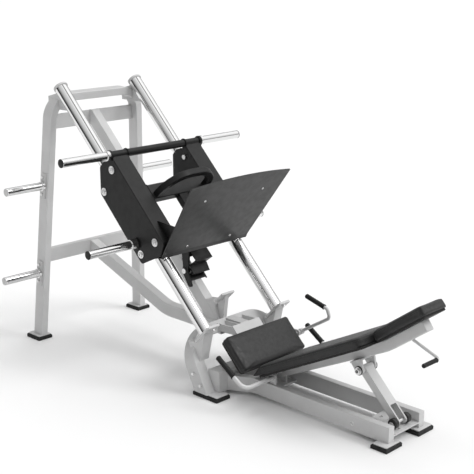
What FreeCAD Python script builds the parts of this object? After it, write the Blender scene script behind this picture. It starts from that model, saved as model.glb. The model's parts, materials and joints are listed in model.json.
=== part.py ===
import FreeCAD, Part

import math
import os

from FreeCAD import Vector

# Leg press machine, in millimetres. Z is up and the floor is Z = 0. X runs across the machine.
# The model is drawn with Y = 0 at the front edge of the front feet, growing towards the weight
# tower, and every piece is moved back by MIDDLE_Y at the end, so that the origin is under the middle.

# ---------------------------------------------------------------- driving dimensions
MIDDLE_Y = 1271.25          # half way between the lifting handle and the rear feet
WALL = 3.0                  # steel tube wall
CORNER_R = 5.0              # outside corners of the square tubes

RAIL_ANGLE = 45.0           # slope of the guide tubes
RAIL_ORIGIN = Vector(0, 1500, 670)
RAIL_X = 294.0              # guide tube axis, left and right of the middle
RAIL_R = 40.0
RAIL_START = -432.0         # guide tube ends, measured up the slope from RAIL_ORIGIN
RAIL_END = 1350.0

FOOT_TOP = 24.0             # the frame stands on feet this thick
TUBE_GAP = 0.05             # running clearance of every pin and roller

TOWER_FRONT_Y = 2579.0      # front face of the tower at the feet
TOWER_LEAN = math.degrees(math.atan(0.0725))
TOWER_DEPTH = 84.0
TOWER_WIDTH = 48.0
TOWER_TOP = 1584.0
TOWER_SPLAY = 0.0534        # the uprights draw together by this much per millimetre of height
TOWER_FOOT_X = 420.0
TOWER_BEND = 136.0

ARCH_LEAN = 29.0            # the middle arch leans back from the vertical by this angle
ARCH_REAR_Y = 1225.0        # its rear face at the feet
ARCH_DEPTH = 92.0
ARCH_WIDTH = 70.0
ARCH_HALF = 364.0
ARCH_HEIGHT = 335.0         # measured along its own lean
ARCH_BEND = 180.0

SPINE_LOW_Z = 283.0         # centre line of the spine's level part
SPINE_HIGH_Z = 550.0        # and where it meets the tower
SPINE_BEND_Y = 1838.0
SPINE_WIDTH = 60.0
SPINE_HEIGHT = 80.0

BACK_ANGLE = 25.7           # slope of the backrest beam
BACK_PIVOT = Vector(0, 915, 120)
HEAD_BEND = 10.3            # the head part is this much steeper
BACK_BEAM = 60.0

SEAT_HALF = 260.0
PAD_HALF = 210.0
HEAD_HALF = 103.0

UPPER_BAR_Y = 2524.0        # front faces of the tower's crossbars, and their heights
UPPER_BAR_Z = (1366.0, 1455.0)
LOWER_BAR_Y = 2560.0
LOWER_BAR_Z = (512.0, 601.0)
CENTRE_TOP_N = -149.0       # top face of the centre beam, below the guide tubes' axes
SEAT_GRIP_POST_X = 140.0
LEVER_PIVOT = Vector(0, 1027, 252)

STRUT_TOP = Vector(0, 297, 321)
STRUT_FOOT = Vector(0, 72, 93)
STRUT_PIN_R = 10.0
STRUT_WHEEL_R = 28.0

SIDE_INNER = 229.0          # the carriage's sides, as distances from the middle of the machine
SIDE_OUTER = 352.0
SIDE_WALL = 5.0
FLANGE_N = 135.0            # their front flanges, above the guide tubes' axes
ROLLER_OFFSET = 77.0        # guide roller axles above and below the guide tube's axis
ROLLER_PLACES = {"lower_front": (148.0, 1), "lower_back": (169.0, -1),
                 "upper_front": (669.0, 1), "upper_back": (623.0, -1)}
UPPER_TUBE = (737.0, 129.0)     # places up the slope and above the guide tubes' axes
LOWER_PEG = (238.0, -65.0)
REST_BAR = (118.0, -28.0)
STOP_PIVOT = (18.0, -131.0)
PLATE_FOOT = (59.0, 76.0)
PLATE_TILT = 10.5           # the foot plate leans this far from square to the guide tubes

PEG_R = 25.0                # weight pegs suit plates with a 50 mm bore
PEG_END = 703.0

shapes = {}


# ---------------------------------------------------------------- helpers
def frame(origin, slope):
    """A placement whose local y runs up a slope (degrees from level, towards +Y) and z is square to it."""
    return FreeCAD.Placement(origin, FreeCAD.Rotation(Vector(1, 0, 0), slope))


def put(shape, placement):
    moved = shape.copy()
    moved.Placement = placement.multiply(moved.Placement)
    return moved


def box(x_range, y_range, z_range):
    low = Vector(x_range[0], y_range[0], z_range[0])
    return Part.makeBox(x_range[1] - low.x, y_range[1] - low.y, z_range[1] - low.z, low)


def cylinder(start, end, radius):
    axis = end.sub(start)
    return Part.makeCylinder(radius, axis.Length, start, axis)


def rod_x(x_start, x_end, y, z, radius):
    return cylinder(Vector(x_start, y, z), Vector(x_end, y, z), radius)


def both_sides(shape):
    """The shape with its mirror image on the other side of the machine, as two solids."""
    return Part.makeCompound([shape, shape.mirror(Vector(0, 0, 0), Vector(1, 0, 0))])


def mirrored(shape):
    return shape.mirror(Vector(0, 0, 0), Vector(1, 0, 0))


def fuse(shapes_to_join):
    joined = shapes_to_join[0].multiFuse(shapes_to_join[1:])
    return joined.removeSplitter()


def corner(before, point, after, radius):
    """Start, middle and end of the arc that rounds one corner."""
    to_before = before.sub(point).normalize()
    to_after = after.sub(point).normalize()
    half = to_before.getAngle(to_after) / 2
    if radius == 0 or half > math.radians(89.9):
        return point, point, point
    reach = radius / math.tan(half)
    inward = to_before.add(to_after).normalize()
    middle = point.add(inward.multiply(radius / math.sin(half) - radius))
    return point.add(to_before.multiply(reach)), middle, point.add(to_after.multiply(reach))


def rounded_edges(points, radii, closed):
    """Lines through the points, with an arc at each corner that has a radius."""
    count = len(points)
    corners = []
    for i in range(count):
        if not closed and i in (0, count - 1):
            corners.append((points[i], points[i], points[i]))
        else:
            corners.append(corner(points[i - 1], points[i], points[(i + 1) % count], radii[i]))
    edges = []
    for i, (start, middle, end) in enumerate(corners):
        if start.distanceToPoint(end) > 0.001:
            edges.append(Part.Arc(start, middle, end).toShape())
        if closed or i < count - 1:
            following = corners[(i + 1) % count][0]
            if end.distanceToPoint(following) > 0.001:
                edges.append(Part.makeLine(end, following))
    return edges


def prism(points, across, low, high, radii=0.0):
    """A flat outline pushed along one axis. Its points are given in the other two axes, in order."""
    if not isinstance(radii, (list, tuple)):
        radii = [radii] * len(points)
    lift = {"x": lambda u, v: Vector(low, u, v), "y": lambda u, v: Vector(u, low, v),
            "z": lambda u, v: Vector(u, v, low)}[across]
    push = {"x": Vector(high - low, 0, 0), "y": Vector(0, high - low, 0),
            "z": Vector(0, 0, high - low)}[across]
    edges = rounded_edges([lift(u, v) for u, v in points], radii, True)
    return Part.Face(Part.Wire(edges)).extrude(push)


def ribbon(path, width, bend):
    """The outline of a bar of one width that follows a path, with rounded bends."""
    sides = []
    for side in (1, -1):
        for i, point in enumerate(path):
            normals = []
            for a, b in ((i - 1, i), (i, i + 1)):
                if a >= 0 and b < len(path):
                    run = (path[b][0] - path[a][0], path[b][1] - path[a][1])
                    length = math.hypot(run[0], run[1])
                    normals.append((-run[1] / length, run[0] / length))
            if len(normals) == 1:
                offset = normals[0]
                radius = 0.0
            else:
                dot = normals[0][0] * normals[1][0] + normals[0][1] * normals[1][1]
                offset = ((normals[0][0] + normals[1][0]) / (1 + dot),
                          (normals[0][1] + normals[1][1]) / (1 + dot))
                turn = normals[0][0] * normals[1][1] - normals[0][1] * normals[1][0]
                radius = max(0.0, bend - side * math.copysign(width / 2, turn))
            reach = side * width / 2
            sides.append(((point[0] + offset[0] * reach, point[1] + offset[1] * reach), radius))
    half = len(path)
    ordered = sides[:half] + sides[half:][::-1]
    return [entry[0] for entry in ordered], [entry[1] for entry in ordered]


def bar(path, across, middle, width, depth, bend, wall=WALL):
    """A rectangular tube with rounded long edges, along a flat path. A wall of 0 makes it solid."""
    points, radii = ribbon(path, width, bend)
    outer = prism(points, across, middle - depth / 2, middle + depth / 2, radii)
    axis = "xyz".index(across)
    long_edges = []
    for edge in outer.Edges:
        first, last = edge.Vertexes[0].Point, edge.Vertexes[-1].Point
        centre = [edge.CenterOfMass[i] for i in range(3) if i != axis]
        at_an_end = min(math.dist(centre, path[0]), math.dist(centre, path[-1])) < 1
        if abs(first[axis] - last[axis]) < 0.01 and not at_an_end:
            long_edges.append(edge)
    outer = outer.makeFillet(CORNER_R, long_edges)
    if wall == 0:
        return outer
    points, radii = ribbon(path, width - 2 * wall, bend)
    inner_half = depth / 2 - wall
    return outer.cut(prism(points, across, middle - inner_half, middle + inner_half, radii))


def bent_rod(points, bend, radius):
    """A round rod along straight runs joined by arcs."""
    path = Part.Wire(rounded_edges(points, [bend] * len(points), False))
    profile = Part.Wire(Part.makeCircle(radius, points[0], points[1].sub(points[0])))
    return path.makePipeShell([profile], True, True)


RAIL = frame(RAIL_ORIGIN, RAIL_ANGLE)
TOWER = frame(Vector(0, TOWER_FRONT_Y, 0), TOWER_LEAN)
ARCH = frame(Vector(0, ARCH_REAR_Y, FOOT_TOP), -ARCH_LEAN)


def rail_point(x, up_slope, above):
    return RAIL.multVec(Vector(x, up_slope, above))


# ---------------------------------------------------------------- rear tower
def tower_path():
    """Half of the bent tube's centre line in its own plane: foot, corner, middle of the top."""
    lean = math.cos(math.radians(TOWER_LEAN))
    top = TOWER_TOP / lean - TOWER_WIDTH / 2
    foot_x = TOWER_FOOT_X + TOWER_SPLAY * 60
    return (foot_x, -60.0), (TOWER_FOOT_X - TOWER_SPLAY * top, top)


def rear_tower():
    foot, corner_point = tower_path()
    path = [(-foot[0], foot[1]), (-corner_point[0], corner_point[1]), corner_point, foot]
    whole = put(bar(path, "y", TOWER_DEPTH / 2, TOWER_WIDTH, TOWER_DEPTH, TOWER_BEND), TOWER)
    solid = put(bar(path, "y", TOWER_DEPTH / 2, TOWER_WIDTH, TOWER_DEPTH, TOWER_BEND, 0), TOWER)
    room = (-600, 600)
    depth = (2000, 3000)
    split = TOWER_TOP - 184
    legs = whole.common(box(room, depth, (FOOT_TOP, split)))
    sides = sorted(legs.Solids, key=lambda piece: piece.CenterOfMass.x)
    shapes["tower_upright_left"] = sides[0]
    shapes["tower_upright_right"] = sides[-1]
    shapes["tower_top"] = whole.common(box(room, depth, (split, TOWER_TOP + 100)))
    return solid


def crossbar(z_range, y_range, tower):
    level = sum(z_range) / 2
    whole = bar([(-420, level), (420, level)], "y", sum(y_range) / 2, z_range[1] - z_range[0],
                y_range[1] - y_range[0], 0)
    between = whole.cut(tower)
    return min(between.Solids, key=lambda piece: abs(piece.CenterOfMass.x))


# ---------------------------------------------------------------- middle arch and base
def middle_arch():
    half = ARCH_HALF - ARCH_WIDTH / 2
    top = ARCH_HEIGHT - ARCH_WIDTH / 2
    path = [(-half, -80), (-half, top), (half, top), (half, -80)]
    whole = put(bar(path, "y", -ARCH_DEPTH / 2, ARCH_WIDTH, ARCH_DEPTH, ARCH_BEND), ARCH)
    solid = put(bar(path, "y", -ARCH_DEPTH / 2, ARCH_WIDTH, ARCH_DEPTH, ARCH_BEND, 0), ARCH)
    room = (-600, 600)
    depth = (900, 1600)
    leg_zone = put(box(room, (-200, 200), (-200, top - ARCH_BEND)), ARCH)
    legs = whole.common(leg_zone).common(box(room, depth, (FOOT_TOP, 600)))
    sides = sorted(legs.Solids, key=lambda piece: piece.CenterOfMass.x)
    shapes["middle_leg_left"] = sides[0]
    shapes["middle_leg_right"] = sides[-1]
    shapes["middle_arch_top"] = whole.cut(put(box(room, (-200, 200), (-400, top - ARCH_BEND)), ARCH))
    return solid


def base():
    inner = ARCH_HALF - ARCH_WIDTH
    front, rear = 1095.0, 1180.0
    low, high = FOOT_TOP, 150.0
    level = (low + high) / 2
    shapes["low_cross_member"] = bar([(-inner, level), (inner, level)], "y", (front + rear) / 2, high - low,
                                     rear - front, 0)
    rail_low = FOOT_TOP
    rail_high = 115.0
    path = [(131.5, 27), (131.5, 975), (225, 1140)]
    rail = bar(path, "z", (rail_low + rail_high) / 2, 45, rail_high - rail_low, 130)
    rail = rail.cut(box((0, 600), (front, 1400), (0, 300)))
    end_plate = box((112, 151), (27, 31), (rail_low + WALL, rail_high - WALL))
    rail = rail.fuse(end_plate).cut(rod_x(140, 170, 260, 66, 8))
    shapes["base_rail_right"] = rail
    shapes["base_rail_left"] = mirrored(rail)
    # A plate between the rails carries the strut's rollers. Its slots hold a locking peg.
    track_top = STRUT_FOOT.z - STRUT_WHEEL_R - 2.5
    plate = box((-109, 109), (27, 245), (track_top - 8, track_top))
    for place in (60, 110, 160, 210):
        for side in (-1, 1):
            slot = box((side * 28 - 12, side * 28 + 12), (place - 8, place + 8), (0, 200))
            plate = plate.cut(slot)
    shapes["strut_track"] = plate
    bracket = box((-109, 109), (870, 960), (40, 52))
    for side in (-1, 1):
        x_low = side * 42 - 5
        ear = prism([(885, 52), (945, 52), (937, 142), (893, 142)], "x", x_low, x_low + 10, [0, 0, 20, 20])
        bracket = bracket.fuse(ear)
    pin_r = 12.0
    bracket = bracket.cut(rod_x(-60, 60, BACK_PIVOT.y, BACK_PIVOT.z, pin_r))
    shapes["hinge_bracket"] = bracket
    pin = rod_x(-47, 47, BACK_PIVOT.y, BACK_PIVOT.z, pin_r)
    heads = [rod_x(side * 47, side * 54, BACK_PIVOT.y, BACK_PIVOT.z, 18) for side in (-1, 1)]
    shapes["backrest_hinge_pin"] = fuse([pin] + heads)


def feet():
    pads = []
    for x_range, y_range in (((74, 205), (0, 101)), ((258, 364), (1044, 1236)), ((368, 472), (2566, 2698))):
        pad = box(x_range, y_range, (0, FOOT_TOP))
        pad = pad.makeChamfer(6, [edge for edge in pad.Edges if edge.BoundBox.ZMin > FOOT_TOP - 1])
        pads += both_sides(pad).Solids
    shapes["feet"] = Part.makeCompound(pads)


# ---------------------------------------------------------------- spine and centre beam
def spine_and_centre(arch):
    path = [(1200, SPINE_LOW_Z), (SPINE_BEND_Y, SPINE_LOW_Z), (LOWER_BAR_Y, SPINE_HIGH_Z)]
    rise = (SPINE_HIGH_Z - SPINE_LOW_Z) / (LOWER_BAR_Y - SPINE_BEND_Y)
    path[2] = (LOWER_BAR_Y + 60, SPINE_HIGH_Z + 60 * rise)
    spine = bar(path, "x", 0, SPINE_HEIGHT, SPINE_WIDTH, 300)
    spine = spine.cut(box((-100, 100), (LOWER_BAR_Y, 3000), (0, 1000)))
    behind_arch = box((-100, 100), (1230, 1345), (0, 600))
    spine = spine.cut(behind_arch).cut(arch)
    shapes["spine_beam"] = max(spine.Solids, key=lambda piece: piece.Volume)
    mid_n = CENTRE_TOP_N - SPINE_HEIGHT / 2
    beam = put(bar([(-700, mid_n), (1600, mid_n)], "x", 0, SPINE_HEIGHT, SPINE_WIDTH, 0), RAIL)
    spine_top = SPINE_LOW_Z + SPINE_HEIGHT / 2
    keep = box((-100, 100), (1000, UPPER_BAR_Y), (spine_top, UPPER_BAR_Z[1] + 6))
    beam = beam.common(keep).cut(arch)
    shapes["centre_beam"] = max(beam.Solids, key=lambda piece: piece.Volume)
    # The bumper is a plate on a tapered post, with a saddle between the post and the beam.
    plate = box((-50, 50), (-256, -244), (-68, 14))
    post = prism([(-256, -5), (-256, -88), (-285, CENTRE_TOP_N), (-366, CENTRE_TOP_N)], "x", -15, 15)
    saddle = prism([(-185, CENTRE_TOP_N), (-228, -93), (-345, CENTRE_TOP_N)], "x", -30, 30)
    shapes["bumper"] = put(fuse([plate, post, saddle]), RAIL).cut(arch)


def guide_tubes(tower, arch):
    run = put(cylinder(Vector(RAIL_X, RAIL_START, 0), Vector(RAIL_X, RAIL_END, 0), RAIL_R), RAIL)
    core = put(cylinder(Vector(RAIL_X, RAIL_START - 5, 0), Vector(RAIL_X, RAIL_END + 5, 0), RAIL_R - 6), RAIL)
    tube = run.cut(core)
    shapes["guide_tube_right"] = tube
    shapes["guide_tube_left"] = mirrored(tube)
    plate_under = RAIL_START - 14
    lower_plate = prism([(RAIL_X - 45, -78), (RAIL_X + 45, -78), (RAIL_X + 45, 82), (RAIL_X - 45, 82)],
                        "y", plate_under, RAIL_START, 8)
    lower_plate = put(lower_plate, RAIL)
    top_corner = rail_point(0, plate_under, 16)
    low_corner = rail_point(0, plate_under, -78)
    wedge = prism([(top_corner.y, top_corner.z), (low_corner.y, low_corner.z), (1310, low_corner.z),
                   (1250, 195), (1214, 195)], "x", RAIL_X - 35, RAIL_X + 35)
    wedge = wedge.cut(arch)
    wedge = min(wedge.Solids, key=lambda piece: piece.CenterOfMass.y)
    lower = fuse([lower_plate, wedge])
    upper_plate = put(cylinder(Vector(RAIL_X, RAIL_END, 0), Vector(RAIL_X, RAIL_END + 12, 0), RAIL_R + 5), RAIL)
    tip = rail_point(0, RAIL_END + 6, -60)
    inside = rail_point(0, RAIL_END + 6, -20)
    low = rail_point(0, RAIL_END - 135, -20)
    web = prism([(inside.y, inside.z), (tip.y, tip.z), (TOWER_FRONT_Y, tip.z - 20), (TOWER_FRONT_Y, 1492),
                 (low.y, 1492), (low.y, low.z)], "x", RAIL_X - 9, RAIL_X + 9)
    web = web.cut(run).cut(tower)
    web = min(web.Solids, key=lambda piece: piece.CenterOfMass.y)
    upper = fuse([upper_plate, web])
    shapes["guide_flanges"] = Part.makeCompound(both_sides(lower).Solids + both_sides(upper).Solids)


# ---------------------------------------------------------------- seat
def seat(arch):
    bottom = 14.0
    board_top = 28.0
    pad_top = 77.0
    outline = [(-SEAT_HALF, -744), (SEAT_HALF, -744), (SEAT_HALF, -515), (-SEAT_HALF, -515)]
    shapes["seat_pad"] = put(prism(outline, "z", board_top, pad_top, 22), RAIL)
    inset = [(-SEAT_HALF + 8, -736), (SEAT_HALF - 8, -736), (SEAT_HALF - 8, -523), (-SEAT_HALF + 8, -523)]
    shapes["seat_board"] = put(prism(inset, "z", bottom, board_top, 18), RAIL)
    plate = put(box((-110, 110), (-700, -452), (bottom - 8, bottom)), RAIL)
    above_plate = put(box((-200, 200), (-1500, 200), (bottom - 8, 900)), RAIL)
    behind_face = put(box((-600, 600), (-ARCH_DEPTH, 600), (-400, 900)), ARCH)
    post = box((-30, 30), (1000, 1400), (302, 358)).cut(above_plate).cut(behind_face)
    brackets = []
    for x_low, reach in ((-110, -456), (-45, -456), (35, -456), (100, -456)):
        upper = rail_point(0, reach, bottom - 8)
        lower = rail_point(0, reach - 60, bottom - 8)
        web = prism([(upper.y, upper.z), (lower.y, lower.z), (1330, 300), (1330, 345)], "x", x_low, x_low + 10)
        web = web.cut(arch)
        brackets.append(min(web.Solids, key=lambda piece: piece.CenterOfMass.y))
    shapes["seat_mount"] = fuse([plate, post] + brackets)


def seat_grips():
    x = 372.0
    grip_top = Vector(x, 1026, 284)
    grip_low = Vector(x, 902, 202)
    elbow = Vector(x, 826, 151.6)
    inner = Vector(SEAT_GRIP_POST_X, 826, 151.6)
    tube = bent_rod([grip_top, elbow, inner], 52, 12)
    grip = cylinder(grip_top.add(Vector(0, 3, 2)), grip_low, 15.5)
    bore = cylinder(grip_top, grip_low.sub(Vector(0, 30, 20)), 12)
    shapes["seat_grip_tubes"] = both_sides(tube)
    shapes["seat_grips"] = both_sides(grip.cut(bore).cut(tube))
    post = prism([(806, 115), (846, 115), (842, 170), (810, 170)], "x", SEAT_GRIP_POST_X - 10, SEAT_GRIP_POST_X,
                 [0, 0, 14, 14])
    shapes["seat_grip_posts"] = both_sides(post)


def release_lever(arch):
    x = 325.0
    pivot = LEVER_PIVOT
    path = [Vector(x, pivot.y, pivot.z), Vector(x, 812, 386), Vector(x, 832, 438), Vector(x, 992, 481)]
    rod = bent_rod(path, 24, 10)
    hub = rod_x(x - 12, x + 12, pivot.y, pivot.z, 18)
    shaft_r = 8.0
    lever = rod.fuse(hub).fuse(rod_x(274, x, pivot.y, pivot.z, shaft_r))
    along = path[3].sub(path[2]).normalize()
    grip_start = path[2].add(along * 22)
    grip_end = path[3].add(along * 4)
    grip = cylinder(grip_start, grip_end, 14.5).cut(cylinder(grip_start, path[3], 10))
    shapes["release_lever"] = lever.removeSplitter()
    shapes["release_lever_grip"] = grip
    ear = prism([(pivot.y - 20, pivot.z - 18), (pivot.y + 20, pivot.z - 20), (1300, 190), (1300, 262),
                 (pivot.y - 20, pivot.z + 20)], "x", 286, 294, [16, 0, 0, 0, 16])
    ear = ear.cut(arch).cut(shapes["guide_flanges"])
    ear = ear.cut(rod_x(250, 330, pivot.y, pivot.z, shaft_r + TUBE_GAP))
    shapes["lever_bracket"] = min(ear.Solids, key=lambda piece: piece.CenterOfMass.y)


# ---------------------------------------------------------------- backrest
def backrest():
    back = frame(Vector(0, 640, 219), -BACK_ANGLE)
    bend_y = -557.7
    hinge = back.inverse().multVec(BACK_PIVOT)
    hinge_y = hinge.y
    hinge_z = hinge.z
    head = math.radians(HEAD_BEND)

    def pad_bottom(y):
        return 60.0 - (y + 540.0) * 0.022

    def head_point(along, above):
        """A point of the head part: along it from the bend, and above the beam's underside."""
        return (bend_y - along * math.cos(head) + above * math.sin(head),
                along * math.sin(head) + above * math.cos(head))

    board_z = 12.0
    main_end = -545.0
    seat_end = 236.0
    middle = BACK_BEAM / 2
    path = [(hinge_y, middle), (bend_y + middle * math.tan(head / 2), middle), head_point(276, middle)]
    beam = bar(path, "x", 0, BACK_BEAM, BACK_BEAM, 200)
    over = prism([(main_end, pad_bottom(main_end)), (400, pad_bottom(400)), (400, 200), (main_end, 200)],
                 "x", -100, 100)
    beam = beam.cut(over)
    hub_r = 22.0
    hub = rod_x(-34, 34, hinge_y, hinge_z, hub_r)
    beam = beam.cut(rod_x(-50, 50, hinge_y, hinge_z, hub_r)).fuse(hub)
    beam = beam.cut(rod_x(-50, 50, hinge_y, hinge_z, 12 + TUBE_GAP))
    beam = max(beam.Solids, key=lambda piece: piece.Volume)
    shapes["backrest_beam"] = put(beam, back)
    board = prism([(main_end, pad_bottom(main_end)), (seat_end, pad_bottom(seat_end)),
                   (seat_end, pad_bottom(seat_end) + board_z), (main_end, pad_bottom(main_end) + board_z)],
                  "x", -PAD_HALF + 10, PAD_HALF - 10)
    head_board = prism([head_point(8, 60), head_point(8, 60 + board_z), head_point(350, 60 + board_z),
                        head_point(350, 60)], "x", -HEAD_HALF + 14, HEAD_HALF - 14)
    boards = Part.makeCompound([board.cut(beam), head_board.cut(beam).cut(board)])
    shapes["backrest_boards"] = put(boards, back)
    thick = 62.0
    nose = 80.0                 # the pad's seat end slopes under the seat
    nose_end = seat_end + nose
    outline = [(-PAD_HALF, main_end), (PAD_HALF, main_end), (PAD_HALF, nose_end), (-PAD_HALF, nose_end)]
    slab = prism(outline, "z", 0, 200, [45, 45, 20, 20])
    side = prism([(main_end, pad_bottom(main_end) + board_z), (seat_end, pad_bottom(seat_end) + board_z),
                  (nose_end, pad_bottom(seat_end) + board_z + 3), (seat_end, pad_bottom(seat_end) + thick),
                  (main_end, pad_bottom(main_end) + thick)],
                 "x", -PAD_HALF, PAD_HALF)
    main = slab.common(side)
    start = main_end + 60
    head_pad = prism([(start, pad_bottom(start) + board_z), head_point(8, 60 + board_z),
                      head_point(368, 60 + board_z), head_point(368, 120), head_point(12, 120),
                      (start, pad_bottom(start) + thick)], "x", -HEAD_HALF, HEAD_HALF)
    pad = fuse([main, head_pad]).cut(boards).cut(beam)
    shapes["backrest_pad"] = put(pad, back)
    strut_bracket(back)
    rod_top = Vector(0, 13, 550.5)
    rod_low = Vector(0, -144, 491)
    rod = bent_rod([rod_top, rod_low, Vector(-128, -144, 491)], 16, 8)
    rod = rod.cut(put(prism([head_point(-50, 0), head_point(400, 0), head_point(400, 120),
                             head_point(-50, 120)], "x", -60, 60), back))
    shapes["lifting_handle"] = max(rod.Solids, key=lambda piece: piece.Volume)
    grip = rod_x(-136, -22, -144, 491, 11.5).cut(rod_x(-128, 0, -144, 491, 8))
    shapes["lifting_grip"] = grip


def strut_bracket(back):
    inverse = back.inverse()
    top = inverse.multVec(STRUT_TOP)
    plate = box((-62, 62), (top.y - 40, top.y + 40), (-8, 0))
    parts = [plate]
    for side in (-1, 1):
        x_low = side * 54 - 6
        parts.append(prism([(top.y - 36, -8), (top.y + 36, -8), (top.y + 20, top.z - 20),
                            (top.y - 20, top.z - 20)], "x", x_low, x_low + 12, [0, 0, 18, 18]))
    bracket = fuse(parts).cut(rod_x(-100, 100, top.y, top.z, STRUT_PIN_R))
    shapes["strut_bracket"] = put(bracket, back)
    pin = rod_x(-60, 60, STRUT_TOP.y, STRUT_TOP.z, STRUT_PIN_R)
    washers = [rod_x(side * 60, side * 68, STRUT_TOP.y, STRUT_TOP.z, 21) for side in (-1, 1)]
    heads = [rod_x(side * 68, side * 80, STRUT_TOP.y, STRUT_TOP.z, 14) for side in (-1, 1)]
    shapes["strut_pivot_bolt"] = fuse([pin] + washers + heads)


def strut():
    run = STRUT_TOP.sub(STRUT_FOOT)
    slope = math.degrees(math.atan2(run.z, run.y))
    local = frame(STRUT_FOOT, slope)
    length = run.Length
    half = 33.0
    deep = 22.0
    body = box((-half, half), (-16, length), (-deep, deep))
    tip = rod_x(-half, half, 0, 0, deep)
    body = body.cut(box((-50, 50), (-30, 0), (-30, 30))).fuse(tip)
    hollow = box((WALL - half, half - WALL), (-30, length - deep), (WALL - deep, deep - WALL))
    throat = prism([(-24, -40), (24, -40), (24, 88), (-24, 88)], "z", -30, 30, [0, 0, 6, 6])
    body = body.cut(hollow).cut(throat)
    body = body.cut(rod_x(-50, 50, length, 0, 21))
    hub = rod_x(-44, 44, length, 0, 21)
    body = body.fuse(hub).cut(rod_x(-50, 50, length, 0, STRUT_PIN_R + TUBE_GAP))
    axle_r = 10.0
    body = body.cut(rod_x(-50, 50, 0, 0, axle_r))
    shapes["strut"] = put(max(body.Solids, key=lambda piece: piece.Volume), local)
    axle = rod_x(-70, 70, STRUT_FOOT.y, STRUT_FOOT.z, axle_r)
    clips = [rod_x(side * 68, side * 73, STRUT_FOOT.y, STRUT_FOOT.z, 14) for side in (-1, 1)]
    shapes["strut_axle"] = fuse([axle] + clips)
    wheel = rod_x(39, 67, STRUT_FOOT.y, STRUT_FOOT.z, STRUT_WHEEL_R)
    wheel = wheel.makeFillet(4, [edge for edge in wheel.Edges if edge.BoundBox.XLength < 0.01])
    wheel = wheel.cut(rod_x(30, 80, STRUT_FOOT.y, STRUT_FOOT.z, axle_r + TUBE_GAP))
    shapes["strut_rollers"] = both_sides(wheel)


# ---------------------------------------------------------------- carriage, drawn in the rail frame
def carriage_sides():
    outline = [(125, -117), (64, 60), (99, FLANGE_N), (706, FLANGE_N), (751, 49), (751, 0), (635, -115)]
    outer = prism(outline, "x", SIDE_INNER, SIDE_OUTER, [20, 12, 20, 20, 12, 20, 30])
    folded = [e for e in outer.Edges if e.BoundBox.XLength < 0.01 and e.CenterOfMass.z > 55]
    outer = outer.makeFillet(CORNER_R, folded)
    inside = FLANGE_N - SIDE_WALL
    cavity = prism([(0, -200), (68, 55), (103, inside), (702, inside), (746, 45), (900, -200)], "x",
                   SIDE_INNER + SIDE_WALL, SIDE_OUTER - SIDE_WALL, [0, 8, 15, 15, 8, 0])
    mouth = prism([(0, -150), (0, 52), (130, 52), (130, -150)], "x",
                  SIDE_INNER + SIDE_WALL, SIDE_OUTER - SIDE_WALL)
    top_mouth = prism([(700, -150), (700, 46), (900, 46), (900, -150)], "x",
                      SIDE_INNER + SIDE_WALL, SIDE_OUTER - SIDE_WALL)
    side = outer.cut(cavity).cut(mouth).cut(top_mouth)
    for x_low in (SIDE_INNER, SIDE_OUTER - SIDE_WALL):
        ear = rod_x(x_low, x_low + SIDE_WALL, UPPER_TUBE[0], UPPER_TUBE[1], 29)
        side = side.fuse(ear)
    side = side.cut(rod_x(200, 400, UPPER_TUBE[0], UPPER_TUBE[1], 23))
    for up_slope, sign in ROLLER_PLACES.values():
        side = side.cut(rod_x(200, 400, up_slope, sign * ROLLER_OFFSET, 10))
    side = side.removeSplitter()
    shapes["carriage_side_right"] = put(side, RAIL)
    shapes["carriage_side_left"] = put(mirrored(side), RAIL)


def carriage_bars():
    low, high = 84.0, 134.0
    crossbar_tube = bar([(-SIDE_INNER, 445), (SIDE_INNER, 445)], "z", (low + high) / 2, 100, high - low, 0)
    shapes["carriage_crossbar"] = put(crossbar_tube, RAIL)
    tube = rod_x(-SIDE_OUTER, SIDE_OUTER, UPPER_TUBE[0], UPPER_TUBE[1], 23)
    core = rod_x(-SIDE_OUTER, SIDE_OUTER, UPPER_TUBE[0], UPPER_TUBE[1], 19)
    shapes["carriage_upper_tube"] = put(tube.cut(core), RAIL)
    shapes["rest_bar"] = put(rod_x(-SIDE_INNER, SIDE_INNER, REST_BAR[0], REST_BAR[1], 15), RAIL)
    path = [(-192, high), (-192, 302), (192, 302), (192, high)]
    hoop = bar(path, "y", 420, 38, 40, 160)
    shapes["carriage_hoop"] = put(hoop, RAIL)


def hexagon_socket(x_start, y, z):
    """The recess for a hexagon key."""
    corners = [(y + 7 * math.cos(math.radians(60 * i)), z + 7 * math.sin(math.radians(60 * i)))
               for i in range(6)]
    return prism(corners, "x", x_start, x_start + 30)


def roller_axles():
    axles = []
    for up_slope, sign in ROLLER_PLACES.values():
        above = sign * ROLLER_OFFSET
        shank = rod_x(SIDE_INNER, SIDE_OUTER, up_slope, above, 10)
        washer = rod_x(SIDE_OUTER, SIDE_OUTER + 3, up_slope, above, 24)
        head = rod_x(SIDE_OUTER + 3, SIDE_OUTER + 12, up_slope, above, 14)
        rim = [e for e in head.Edges if e.BoundBox.XMin > SIDE_OUTER + 11 and e.BoundBox.XLength < 1]
        head = head.makeFillet(4, rim).cut(hexagon_socket(SIDE_OUTER + 7, up_slope, above))
        nut = rod_x(SIDE_INNER - 10, SIDE_INNER, up_slope, above, 15)
        axles.append(fuse([shank, washer, head, nut]))
    both = []
    for axle in axles:
        both += both_sides(axle).Solids
    shapes["roller_axles"] = put(Part.makeCompound(both), RAIL)


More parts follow.
